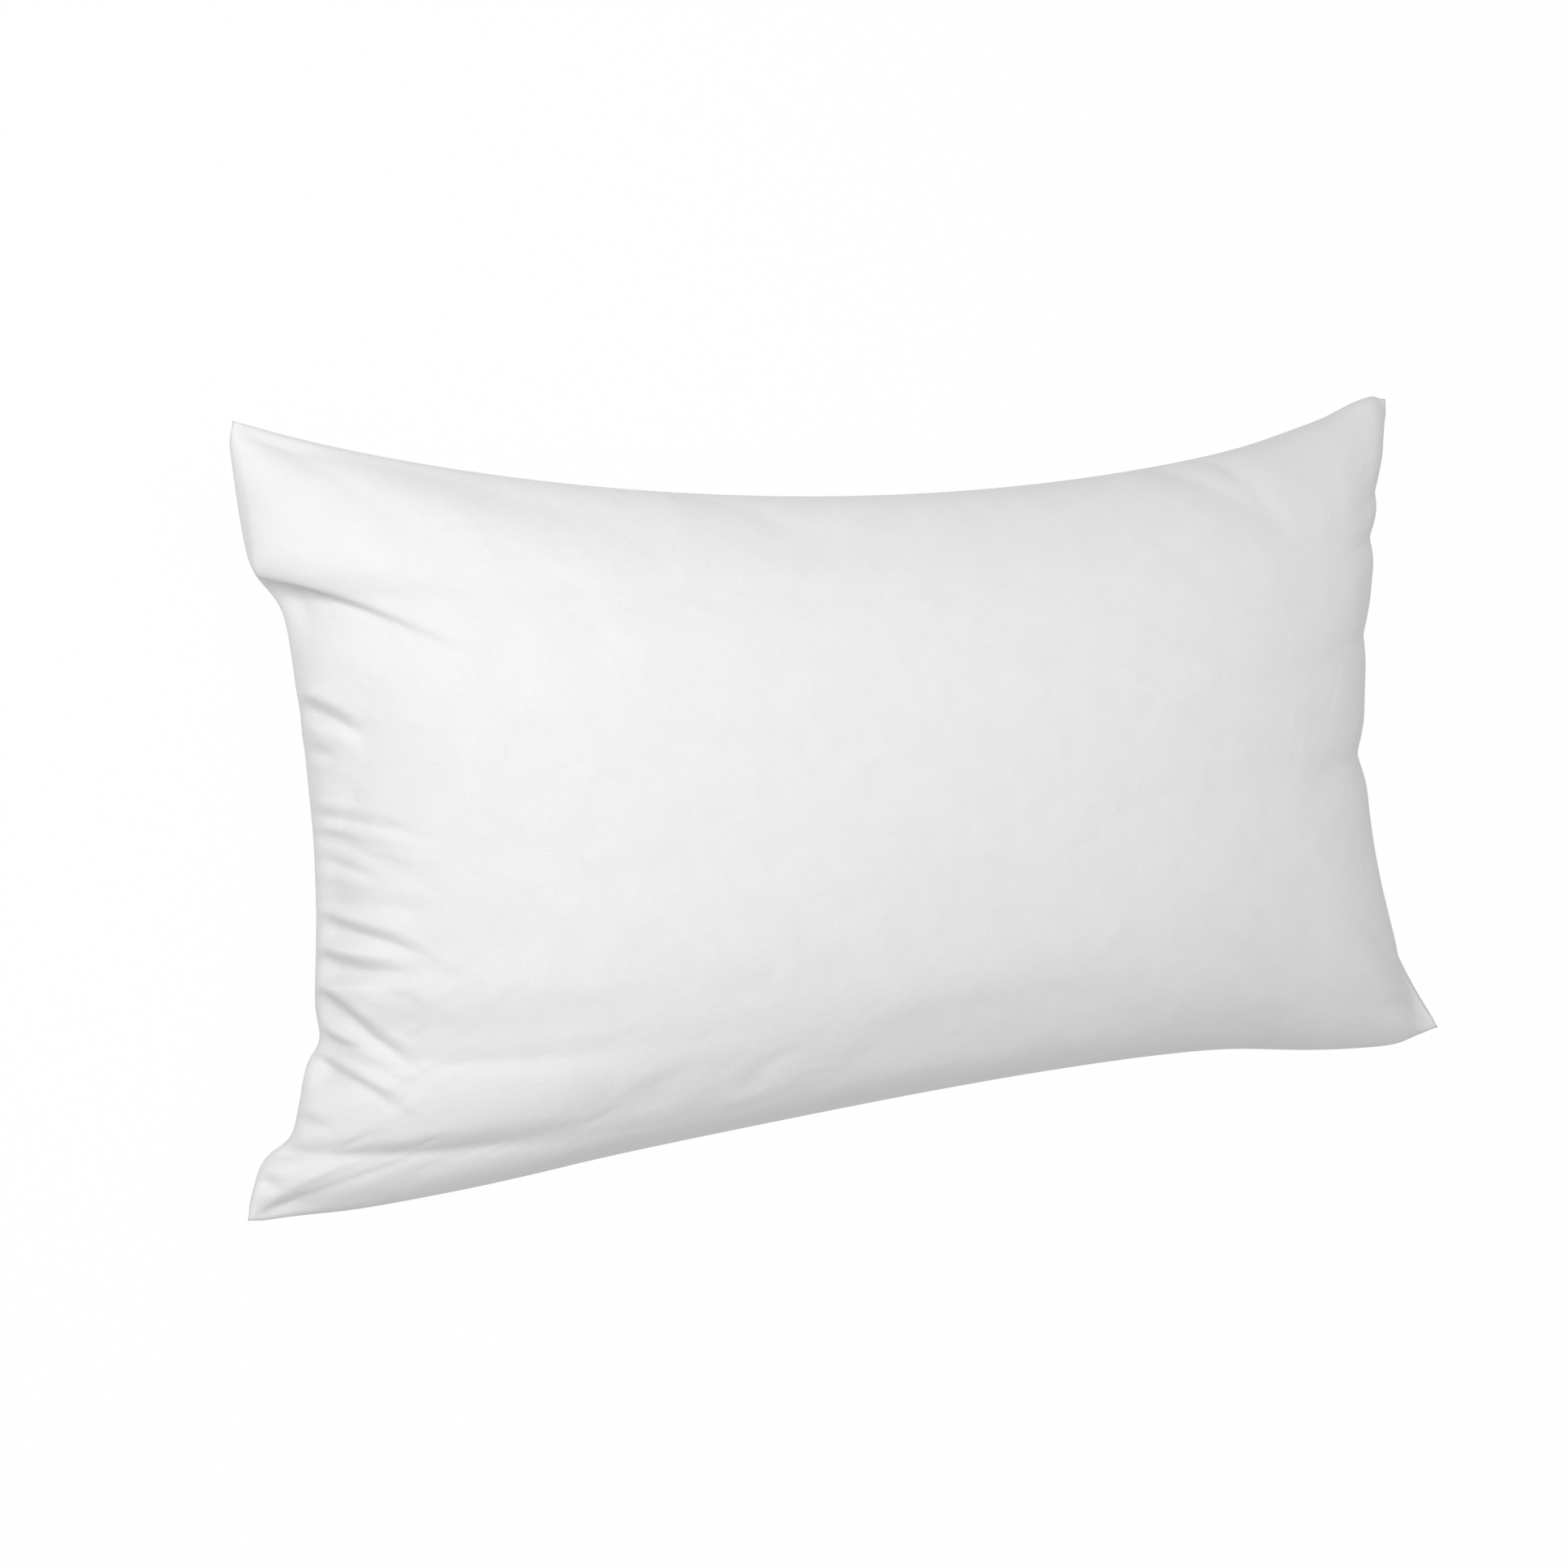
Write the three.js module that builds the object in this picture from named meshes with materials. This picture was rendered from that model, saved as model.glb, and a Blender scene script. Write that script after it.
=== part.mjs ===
// Bed pillow, king size: two woven cotton panels sewn into a shell around a carded fibre filling.
// Millimetres, +Z up, +X along the length, +Y towards the rear long edge. The pillow lies flat, as it does
// on a bed, and the origin is under its middle, on the plane that it lies on.
import * as THREE from "three";

// Stuffed size
const LENGTH = 880; // over the corners
const WIDTH = 478; // over the corners
const LOFT = 204; // height at the crown
const SEAM_HEIGHT = 92; // height of the seam plane over the bed
const END_PULL = 44; // how far filling draws in the middle of each short end
const SIDE_PULL = 36; // how far it draws in the middle of each long side
const SIDE_BOW = 20; // how far the middle is shaken down towards the front edge
const HOLLOW_POWER = 2.3; // shape of the drawn-in edges: 2 is a parabola

// Crown of each half: higher powers give a flatter middle and steeper edges
const CROWN_X = 4;
const CROWN_Y = 2.7;
const CROWN_FULLNESS = 0.56;
const BASE_CONTACT = 0.86; // the crown's share over which the lower half lies flat on the bed
const BASE_ROUNDING = 1.7; // how the lower half comes down to it: 1 is straight, higher is rounder

// Cloth, seams and thread
const CLOTH = 0.5;
const ALLOWANCE = 10; // turned-in seam allowance
const SEAM_GAP = 1.2; // between the two allowances: room for the thread and the labels
const THREAD = 0.5;
const THREAD_INSET = 2.2; // from the fold of the seam to the thread
const OVERLOCK = 2.6; // bead that binds the raw edges
const CLEARANCE = 0.6; // between the binding and the raw edges
const THREAD_SIDES = 6;

// Filling
const PLIES = ["fill_bottom_ply", "fill_core_ply", "fill_top_ply"];
const FILL_GAP = 2.5; // loose space between filling and cloth
const PLY_GAP = 1;
const FILL_EDGE_GAP = 1.8; // between the filling and the binding of the raw edges
const FILL_INSET = ALLOWANCE + CLEARANCE + OVERLOCK + FILL_EDGE_GAP; // from the seam to the filling's edge
const FILL_ROUNDING = 0.32; // how much of each corner the filling leaves empty, 0 to 1

// Care label, sewn into the right end and hanging over its edge
const LABEL_CLOTH = 0.5;
const LABEL_TUCK = 0.7; // how much of it is caught between the panels
const LABEL_REACH = 2.5; // how far it stands out before it hangs
const LABEL_WIDTH = 45;
const LABEL_DROP = 58;
const LABEL_PLACE = -30; // its middle along the end

// Mesh density: cells along the length and across the width
const PANEL_CELLS = [26, 18];
const PLY_CELLS = [18, 12];

const MATERIALS = {
  shell: new THREE.MeshStandardMaterial({ color: 0xf1f1f0, roughness: 0.85, metalness: 0 }),
  thread: new THREE.MeshStandardMaterial({ color: 0xf4f4f2, roughness: 0.6, metalness: 0 }),
  filling: new THREE.MeshStandardMaterial({ color: 0xfafafa, roughness: 1, metalness: 0 }),
  label: new THREE.MeshStandardMaterial({ color: 0xf7f7f5, roughness: 0.5, metalness: 0 }),
};

// Point i of n + 1 from -1 to 1, closer together towards the ends.
const share = (i, n) => Math.sin(((2 * i) / n - 1) * (Math.PI / 2));

// How much of the full draw-in an edge has at t, from -1 at one corner to 1 at the other.
const hollow = (t) => 1 - Math.abs(t) ** HOLLOW_POWER;

// The place in plan of the point (u, v) of a panel, each from -1 to 1.
function plan(u, v) {
  const x = u * (LENGTH / 2 - END_PULL * hollow(v));
  const y = v * (WIDTH / 2 - SIDE_PULL * hollow(u)) - SIDE_BOW * hollow(u);
  return [x, y];
}

// (u, v) moved in from the seam by a distance measured at the corners.
const inset = (u, v, by) => [u * (1 - by / (LENGTH / 2)), v * (1 - by / (WIDTH / 2))];

// Height over the seam plane as a share of the crown's: 0 all round the edge, 1 in the middle.
function crown(u, v) {
  const across = Math.max(0, 1 - Math.abs(u) ** CROWN_X);
  const along = Math.max(0, 1 - Math.abs(v) ** CROWN_Y);
  return (across * along) ** CROWN_FULLNESS;
}

// Outer surfaces of the two halves. The lower one is flat where it lies on the bed.
const rim = SEAM_GAP / 2;
const topHeight = (u, v) => SEAM_HEIGHT + rim + (LOFT - SEAM_HEIGHT - rim) * crown(u, v);
const bottomHeight = (u, v) =>
  (SEAM_HEIGHT - rim) * Math.max(0, 1 - crown(u, v) / BASE_CONTACT) ** BASE_ROUNDING;

const pointOn = (height) => (u, v) => new THREE.Vector3(...plan(u, v), height(u, v));

// The inward normal of a surface, for an outer face that looks up (side 1) or down (side -1).
function inwardNormal(surface, u, v, side) {
  const step = 1e-3;
  const alongU = surface(u + step, v).sub(surface(u - step, v));
  const alongV = surface(u, v + step).sub(surface(u, v - step));
  return alongU.cross(alongV).normalize().multiplyScalar(-side);
}

// A closed grid-shaped solid: two faces of (nu + 1) x (nv + 1) points and the rings that join their edges.
// Face and ring functions take (u, v); upper looks up, lower looks down, and rings run from upper to lower.
function slab([nu, nv], upper, lower, rings = []) {
  const points = [];
  const faces = [];
  const layer = (at) => {
    const first = points.length;
    for (let j = 0; j <= nv; j++)
      for (let i = 0; i <= nu; i++) points.push(at(share(i, nu), share(j, nv)));
    return first;
  };
  const edge = [];
  for (let i = 0; i < nu; i++) edge.push([i, 0]);
  for (let j = 0; j < nv; j++) edge.push([nu, j]);
  for (let i = nu; i > 0; i--) edge.push([i, nv]);
  for (let j = nv; j > 0; j--) edge.push([0, j]);

  const top = layer(upper);
  const bottom = layer(lower);
  const at = (first, i, j) => first + j * (nu + 1) + i;
  for (let j = 0; j < nv; j++)
    for (let i = 0; i < nu; i++) {
      const [a, b, c, d] = [at(top, i, j), at(top, i + 1, j), at(top, i + 1, j + 1), at(top, i, j + 1)];
      faces.push(a, b, c, a, c, d);
      const [e, f, g, h] = [a, b, c, d].map((k) => k - top + bottom);
      faces.push(e, g, f, e, h, g);
    }
  const loops = [edge.map(([i, j]) => at(top, i, j))];
  for (const ring of rings)
    loops.push(edge.map(([i, j]) => points.push(ring(share(i, nu), share(j, nv))) - 1));
  loops.push(edge.map(([i, j]) => at(bottom, i, j)));
  for (let k = 0; k + 1 < loops.length; k++)
    for (let i = 0; i < edge.length; i++) {
      const next = (i + 1) % edge.length;
      const [a, b, c, d] = [loops[k][i], loops[k][next], loops[k + 1][next], loops[k + 1][i]];
      faces.push(a, d, c, a, c, b);
    }
  const geometry = new THREE.BufferGeometry().setFromPoints(points).setIndex(faces);
  geometry.computeVertexNormals();
  return geometry;
}

// A ring of the seam: (u, v) on the edge, moved in by a distance, at a height.
const seamRing = (by, height) => (u, v) => new THREE.Vector3(...plan(...inset(u, v, by)), height);

// One half of the shell with its turned-in allowance. side is 1 for the upper half and -1 for the lower.
function panel(height, side) {
  const outer = pointOn(height);
  const fold = SEAM_HEIGHT + side * rim;
  const turned = fold + side * CLOTH;
  const inner = (u, v) => {
    if (Math.max(Math.abs(u), Math.abs(v)) > 1 - 1e-9) return seamRing(2 * CLOTH, turned)(u, v);
    return outer(u, v).addScaledVector(inwardNormal(outer, u, v, side), CLOTH);
  };
  const allowance = [seamRing(ALLOWANCE, fold), seamRing(ALLOWANCE, turned)];
  return side > 0
    ? slab(PANEL_CELLS, outer, inner, allowance)
    : slab(PANEL_CELLS, inner, outer, allowance.reverse());
}

// Height that the cloth and the loose space inside it take up at (u, v). Both are measured square to the
// cloth, so the space keeps its width where the shell is steep.
const clothAndGap = (height, u, v) =>
  (CLOTH + FILL_GAP) / Math.abs(inwardNormal(pointOn(height), u, v, 1).z);

// One ply of the filling: the layer between two shares of the height inside the shell.
function ply(index) {
  const place = (u, v) => {
    const roundU = u * Math.sqrt(1 - (FILL_ROUNDING * v * v) / 2);
    const roundV = v * Math.sqrt(1 - (FILL_ROUNDING * u * u) / 2);
    return inset(roundU, roundV, FILL_INSET);
  };
  const level = (share, shift) => (u, v) => {
    const [a, b] = place(u, v);
    const low = bottomHeight(a, b) + clothAndGap(bottomHeight, a, b);
    const high = topHeight(a, b) - clothAndGap(topHeight, a, b);
    return new THREE.Vector3(...plan(a, b), low + (high - low) * share + shift);
  };
  const lowGap = index > 0 ? PLY_GAP / 2 : 0;
  const highGap = index < PLIES.length - 1 ? PLY_GAP / 2 : 0;
  return slab(
    PLY_CELLS,
    level((index + 1) / PLIES.length, -highGap),
    level(index / PLIES.length, lowGap),
  );
}

// The sides of the seam as points in (u, v), one for each cell of the panels so that thread and cloth run
// parallel, in the order in which they are sewn.
const [ALONG, ACROSS] = PANEL_CELLS;
const side = (n, at) => Array.from({ length: n + 1 }, (_, i) => at(share(i, n)));
const rearSide = side(ALONG, (t) => [t, 1]);
const rightEnd = side(ACROSS, (t) => [1, -t]);
const frontSide = side(ALONG, (t) => [-t, -1]);
const leftEnd = side(ACROSS, (t) => [-1, t]);
// Three sides are sewn before filling; the left end is closed after it, from corner to corner.
const THREE_SIDES = [...rearSide, ...rightEnd.slice(1), ...frontSide.slice(1)];
const CLOSED_END = leftEnd.slice(1, -1);

// A path straight from point to point, that is read at its points.
class SeamPath extends THREE.Curve {
  constructor(points) {
    super();
    this.points = points;
  }
  getPoint(t) {
    const place = t * (this.points.length - 1);
    const from = Math.min(Math.floor(place), this.points.length - 2);
    return this.points[from].clone().lerp(this.points[from + 1], place - from);
  }
  getPointAt(t) {
    return this.getPoint(t);
  }
  getTangentAt(t) {
    return this.getTangent(t);
  }
}

// A run of thread of a diameter along the seam, at a distance in from the fold.
function threadRun(by, diameter, sides) {
  const points = sides.map(([u, v]) => seamRing(by, SEAM_HEIGHT)(u, v));
  const section = new THREE.Shape(
    Array.from({ length: THREAD_SIDES }, (_, k) => {
      const angle = (2 * Math.PI * k) / THREAD_SIDES;
      return new THREE.Vector2(Math.cos(angle), Math.sin(angle)).multiplyScalar(diameter / 2);
    }),
  );
  const sweep = { steps: points.length - 1, extrudePath: new SeamPath(points) };
  return new THREE.ExtrudeGeometry(section, sweep);
}

// The care label: caught in the right end's seam, out over the fold and down. Its section is swept along
// the edge.
function careLabel() {
  const [from, to] = [-1, 1].map((s) => plan(1, (LABEL_PLACE + (s * LABEL_WIDTH) / 2) / (WIDTH / 2)));
  const bend = LABEL_REACH - LABEL_CLOTH;
  const half = LABEL_CLOTH / 2;
  const outer = LABEL_REACH + LABEL_CLOTH;
  const section = new THREE.Shape();
  section.moveTo(-LABEL_TUCK, -half);
  section.lineTo(LABEL_REACH - bend, -half);
  section.absarc(LABEL_REACH - bend, -half - bend, bend, Math.PI / 2, 0, true);
  section.lineTo(LABEL_REACH, -LABEL_DROP);
  section.lineTo(outer, -LABEL_DROP);
  section.lineTo(outer, -half - bend);
  section.absarc(LABEL_REACH - bend, -half - bend, bend + LABEL_CLOTH, 0, Math.PI / 2, false);
  section.lineTo(-LABEL_TUCK, half);
  section.closePath();
  const sweep = { depth: LABEL_WIDTH, bevelEnabled: false, curveSegments: 5 };
  const geometry = new THREE.ExtrudeGeometry(section, sweep);
  geometry.translate(0, 0, -LABEL_WIDTH / 2);
  geometry.rotateX(Math.PI / 2);
  geometry.rotateZ(Math.atan2(from[0] - to[0], to[1] - from[1]));
  geometry.translate((from[0] + to[0]) / 2, (from[1] + to[1]) / 2, SEAM_HEIGHT);
  return geometry;
}

const pillow = new THREE.Group();

function add(name, geometry, material) {
  const mesh = new THREE.Mesh(geometry, material);
  mesh.name = name;
  pillow.add(mesh);
}

add("top_panel", panel(topHeight, 1), MATERIALS.shell);
add("bottom_panel", panel(bottomHeight, -1), MATERIALS.shell);
PLIES.forEach((name, index) => add(name, ply(index), MATERIALS.filling));
add("seam_thread", threadRun(THREAD_INSET, THREAD, THREE_SIDES), MATERIALS.thread);
add("closing_thread", threadRun(THREAD_INSET, THREAD, CLOSED_END), MATERIALS.thread);
const bindingInset = ALLOWANCE + CLEARANCE + OVERLOCK / 2;
add("overlock_thread", threadRun(bindingInset, OVERLOCK, THREE_SIDES), MATERIALS.thread);
add("care_label", careLabel(), MATERIALS.label);

export default pillow;
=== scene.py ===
"""Bed pillow, king size: a plain woven cotton shell sewn closed round three plies of carded filling.

The shell's two panels start from their flat cut, are sewn together round a shaped seam line, and are blown up
by the filling in a cloth simulation. Threads, label and filling are then laid on what comes out of it.
Metres throughout, but for the sizes whose comments say millimetres.
"""

import math

import bpy
import numpy as np
from mathutils import Matrix, Vector


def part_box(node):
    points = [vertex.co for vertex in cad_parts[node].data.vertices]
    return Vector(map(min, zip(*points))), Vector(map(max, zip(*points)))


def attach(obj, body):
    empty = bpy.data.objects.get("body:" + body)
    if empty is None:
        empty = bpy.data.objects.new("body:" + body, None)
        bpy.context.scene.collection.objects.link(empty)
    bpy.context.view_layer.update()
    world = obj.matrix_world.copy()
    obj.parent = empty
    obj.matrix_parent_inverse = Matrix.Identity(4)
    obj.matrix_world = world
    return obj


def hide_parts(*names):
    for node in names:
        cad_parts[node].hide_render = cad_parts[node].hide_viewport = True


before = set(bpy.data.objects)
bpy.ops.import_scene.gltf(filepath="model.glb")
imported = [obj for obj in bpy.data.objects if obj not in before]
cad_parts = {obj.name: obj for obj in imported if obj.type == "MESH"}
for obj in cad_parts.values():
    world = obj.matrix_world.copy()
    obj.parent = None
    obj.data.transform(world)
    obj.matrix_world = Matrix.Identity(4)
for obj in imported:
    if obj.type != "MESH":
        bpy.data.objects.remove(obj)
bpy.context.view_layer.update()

MM = 0.001
BODY = "root"

# The frame's own measures
shell_low, shell_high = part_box("top_panel")
seam_low, seam_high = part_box("seam_thread")
HALF_LENGTH = (shell_high.x - shell_low.x) / 2
HALF_WIDTH = (shell_high.y - shell_low.y) / 2
SEAM_Z = (seam_low.z + seam_high.z) / 2
BED_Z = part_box("bottom_panel")[0].z

# The panels' flat cut, between the seams, and the allowance round it
CUT_LENGTH = 0.914
CUT_WIDTH = 0.508
ALLOWANCE = 0.010

# The seam line, in millimetres. Its corners stand in from those of the frame's box, as (along, across).
REAR_LEFT_CORNER = (24, 9)
FRONT_LEFT_CORNER = (-2, 5)
REAR_RIGHT_CORNER = (15, 0)
FRONT_RIGHT_CORNER = (-2, 9)
CORNER_LIFT = 7  # how far the corners curl up
CORNER_SPREAD = 60  # how far along the seam the curl fades
CORNER_BLUNTING = (3, 8)  # how far a corner is blunted, and how near to it that starts
SEAM_SAMPLES = 600  # points along each side
# How each side draws in between its corners: (deepest pull, share of the way along where it is deepest, how
# straight it leaves the corners, where 1 is a parabola)
REAR_BOW = (56, 0.5, 0.9)
RIGHT_BOW = (57, 0.58, 1)
FRONT_BOW = (13, 0.62, 1.6)
LEFT_BOW = (30, 0.6, 1)
# Where the seam steps in or out, at folds and at the corners' fullness: (distance, step inwards, spread), in
# millimetres. Distances run from the rear corner on an end and from the left corner on a long side.
LEFT_STEPS = [(94, 17, 6), (352, 9, 7), (371, -10, 4), (426, -16, 3)]
RIGHT_STEPS = [(244, 2, 6), (262, -2, 6)]
REAR_STEPS = [(745, -5, 18), (800, -5, 8), (836, 10, 5)]
FRONT_STEPS = [(40, -4, 12), (200, 4, 25), (730, -10, 25), (864, 10, 9)]
STEP_DIP = 0.4  # how far the seam sinks at a step, as a share of it
# Where the ends are gathered: (distance from the rear corner, cloth taken up, spread), in millimetres
LEFT_GATHERS = [(88, 10, 5), (180, 5, 4), (250, 3, 5), (300, 5, 4), (345, 5, 4), (375, 10, 5), (435, 6, 5)]
RIGHT_GATHERS = [(70, 4, 8), (130, 5, 8), (255, 6, 7), (410, 4, 6)]

# Creases that run in from the closed end, rear to front: (share of the way along the end, run, lean towards
# the front in degrees, depth, half width), in millimetres
END_CREASES = [
    (0.36, 32, 28, 7, 3.6), (0.41, 12, 15, 3, 3), (0.51, 20, 8, 3, 3), (0.54, 30, 20, 4, 3.2),
    (0.62, 55, 14, 6, 3.6), (0.67, 48, 0, 8, 4.4), (0.71, 60, 36, 7, 3.6), (0.86, 16, 5, 3, 3),
    (0.90, 15, 20, 3, 3), (0.95, 15, 25, 3, 3),
]
# Shallow ones between them, drawn by lot: how many, and the least and most of each value
SMALL_CREASES = 11
SMALL_CREASE_SPAN = (0.48, 0.78)
SMALL_CREASE_RUN = (25, 90)
SMALL_CREASE_LEAN = (2, 26)
SMALL_CREASE_DEPTH = (1, 3.5)
SMALL_CREASE_HALF_WIDTH = (2.8, 5)
CREASE_LOT = 11
# Soft folds: (side, share of the way along it, run, lean in degrees, depth, half width), in millimetres.
# A lean is towards the front on an end and towards the right on a long side.
SOFT_FOLDS = [
    ("rear", 0.03, 110, 42, 4, 13), ("rear", 0.13, 160, 62, 4, 15), ("rear", 0.35, 95, 52, 3, 14),
    ("rear", 0.75, 90, 45, 4, 12), ("rear", 0.80, 70, 15, 3.5, 10), ("rear", 0.02, 130, 68, 3, 9),
    ("right", 0.14, 75, 15, 3, 9), ("right", 0.21, 80, 10, 3.5, 8), ("right", 0.36, 90, 5, 2.5, 10),
    ("right", 0.54, 95, 0, 3, 10), ("right", 0.93, 100, -40, 6, 14), ("right", 0.97, 70, -20, 4, 6),
    ("front", 0.03, 270, 72, 4, 20), ("front", 0.015, 70, 62, 4, 5),
    ("left", 0.25, 110, 12, 4, 13), ("left", 0.78, 190, -86, 8, 10),
]
CREASE_CURL = 0.12  # how far a crease bends on its way, as a share of its run
CREASE_FADE = 1.1  # power with which it gets shallower on its way
MOUTH_WIDTH = 1.15  # its width where it starts, as a share of the listed one
NARROWING = 0.4  # how much of the listed width it loses on its way
VALLEY_POWER = 1.35  # lower is sharper
RIDGE_PLACE = 2.2  # how far off the ridge beside it is, in half widths
RIDGE_SHARE = 0.45  # how high the ridge is, as a share of the depth
RIDGE_LIMIT = 5  # folds with a half width over this, in millimetres, have less of a ridge
DEEPEST_CREASE = 6.5  # where creases meet, their depths level off at this, in millimetres
SEED_SHARE = 0.6  # how deep the creases already are before the filling's push
SEED_SPREAD = 1.5  # and how much wider and longer
SEED_RISE = 8  # they are at full depth from 1 / this of the crown's height up
# Folds of the closed end where the rear side laps over the front one: (share of the way along, run, lean,
# lift of the upper side, tuck of the lower, slide of the upper over it), in millimetres and degrees
LAPS = [(0.185, 125, 22, 7, 17, 5), (0.775, 65, 34, 4, 12, 3)]
LAP_REACH = (18, 12)  # how far the lift and the tuck spread
LAP_EDGE = 3.2  # half width of the lap's edge, in millimetres
LAP_FADE = 1.5  # power with which a lap fades on its way
SMOOTHING_ROUNDS = 30  # for the normals that creases and laps are pressed along
SEAM_REACH = 5  # how far from the seam creases reach full depth, in millimetres
SEAM_EASE = 0.7  # power with which they do

# Cloth simulation
CELLS_ALONG = [(30, 3.2), (110, 4.4), (60, 6), (560, 10), (90, 6), (64, 4.6)]  # (length, cell) in millimetres
CELLS_ACROSS = [(508, 3.6)]
START_CROWN = 0.108
CROWN_POWERS = (4, 2.7)
CROWN_FULLNESS = 0.56
SIM_FRAMES = 12
TAKE_UP = 0.97  # what is left of the cut once the seams have gathered it a little
PRESSURE = 1.2
BED_SOFTNESS = 0.006  # how gradually the lower panel comes down to the bed

rng = np.random.default_rng(36)  # for the filling's lumps


# ---------------------------------------------------------------- seam line and start shape


def corner(along_sign, across_sign, inset):
    """A corner of the seam line, in from a corner of the frame's box."""
    return np.array([
        along_sign * (HALF_LENGTH - inset[0] * MM), across_sign * (HALF_WIDTH - inset[1] * MM), 0.0
    ])


def seam_line(start, end, bow, steps=()):
    """One side of the seam from corner to corner, as its distances and points."""
    pull, deepest, straightness = bow
    chord = end - start
    length = np.linalg.norm(chord)
    inwards = np.array([-chord[1], chord[0], 0]) / length
    inwards = inwards * -np.sign(inwards @ (start + end))
    t = np.linspace(0, 1, SEAM_SAMPLES)
    skewed = t ** (math.log(0.5) / math.log(deepest))
    inset = pull * MM * (4 * skewed * (1 - skewed)) ** straightness
    from_corner = np.minimum(t, 1 - t) * length / (CORNER_SPREAD * MM)
    lift = CORNER_LIFT * MM * np.exp(-from_corner)
    for place, step, spread in steps:
        off = (t * length - place * MM) / (spread * MM)
        inset += step * MM / (1 + np.exp(-off))
        lift -= STEP_DIP * abs(step) * MM * np.exp(-((off / 2) ** 2))
    line = start + t[:, None] * chord + inset[:, None] * inwards
    line[:, 2] = lift
    for place in (start, end):
        near = np.exp(-((np.linalg.norm(line[:, :2] - place[:2], axis=1) / (CORNER_BLUNTING[1] * MM)) ** 2))
        line -= near[:, None] * CORNER_BLUNTING[0] * MM * place / np.linalg.norm(place)
    run = np.r_[0, np.cumsum(np.linalg.norm(np.diff(line, axis=0), axis=1))]
    return run, line


def by_cloth(seam, gathers=()):
    """A side of the seam as a function from a share of its cloth, 0 to 1, to a place."""
    run, line = seam
    cloth = run.copy()
    for place, taken, spread in gathers:
        cloth = cloth + taken * MM / (1 + np.exp(-(run - place * MM) / (spread * MM)))
    cloth = (cloth - cloth[0]) / (cloth[-1] - cloth[0])
    return lambda t: np.stack([np.interp(t, cloth, line[:, i]) for i in range(3)], -1)


def turned(side):
    return lambda t: side(1 - np.asarray(t))


rear_left = corner(-1, 1, REAR_LEFT_CORNER)
front_left = corner(-1, -1, FRONT_LEFT_CORNER)
rear_right = corner(1, 1, REAR_RIGHT_CORNER)
front_right = corner(1, -1, FRONT_RIGHT_CORNER)
SEAM = {
    "left": seam_line(rear_left, front_left, LEFT_BOW, LEFT_STEPS),
    "right": seam_line(rear_right, front_right, RIGHT_BOW, RIGHT_STEPS),
    "rear": seam_line(rear_left, rear_right, REAR_BOW, REAR_STEPS),
    "front": seam_line(front_left, front_right, FRONT_BOW, FRONT_STEPS),
}
INWARDS = {"left": (1, 0), "right": (-1, 0), "rear": (0, -1), "front": (0, 1)}
LEAN_WAY = {"left": (0, -1), "right": (0, -1), "rear": (1, 0), "front": (1, 0)}

left_side = turned(by_cloth(SEAM["left"], LEFT_GATHERS))
right_side = turned(by_cloth(SEAM["right"], RIGHT_GATHERS))
rear_side = by_cloth(SEAM["rear"])
front_side = by_cloth(SEAM["front"])


def crease_line(side, share, run, lean, count=17):
    """A crease's path in plan, from its place on a side of the seam, bending a little as it goes."""
    length, line = SEAM[side]
    start = np.array([np.interp(share * length[-1], length, line[:, i]) for i in range(2)])
    lean = math.radians(lean)
    inwards, sideways = np.array(INWARDS[side]), np.array(LEAN_WAY[side])
    ahead = math.cos(lean) * inwards + math.sin(lean) * sideways
    across = math.cos(lean) * sideways - math.sin(lean) * inwards
    t = np.linspace(0, 1, count)[:, None]
    return start + run * MM * (t * ahead + CREASE_CURL * t**2 * across)


def all_creases():
    """Every crease as (path, depth, half width), in metres."""
    lot = np.random.default_rng(CREASE_LOT)
    ranges = (SMALL_CREASE_RUN, SMALL_CREASE_LEAN, SMALL_CREASE_DEPTH, SMALL_CREASE_HALF_WIDTH)
    listed = [("left", *crease) for crease in END_CREASES] + SOFT_FOLDS
    for share in lot.uniform(*SMALL_CREASE_SPAN, SMALL_CREASES):
        drawn = [lot.uniform(*each) for each in ranges]
        listed.append(("left", share, *drawn))
    return [(crease_line(*crease[:4]), crease[4] * MM, crease[5] * MM) for crease in listed]


creases = all_creases()


def seam_sheet(u, v):
    """The surface stretched between the four sides of the seam, at shares u along and v across."""
    u, v = np.broadcast_arrays(np.asarray(u, float), np.asarray(v, float))
    p, q = u[..., None], v[..., None]
    ends = (1 - p) * left_side(v) + p * right_side(v)
    sides = (1 - q) * front_side(u) + q * rear_side(u)
    corners = (
        (1 - p) * (1 - q) * front_side(0.0) + p * (1 - q) * front_side(1.0)
        + (1 - p) * q * rear_side(0.0) + p * q * rear_side(1.0)
    )
    return ends + sides - corners


def graded(parts):
    """Shares from 0 to 1 at the edges of cells that differ in size from part to part."""
    edges = [0.0]
    for length, cell in parts:
        count = max(1, round(length / cell))
        edges += list(edges[-1] + np.arange(1, count + 1) * length / count)
    return np.array(edges) / edges[-1]


def crown(u, v):
    """The filled height over the seam plane, as a share of the middle's."""
    a, b = np.abs(2 * u - 1), np.abs(2 * v - 1)
    lengthways = np.clip(1 - a ** CROWN_POWERS[0], 0, 1)
    crossways = np.clip(1 - b ** CROWN_POWERS[1], 0, 1)
    return (lengthways * crossways) ** CROWN_FULLNESS


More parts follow.
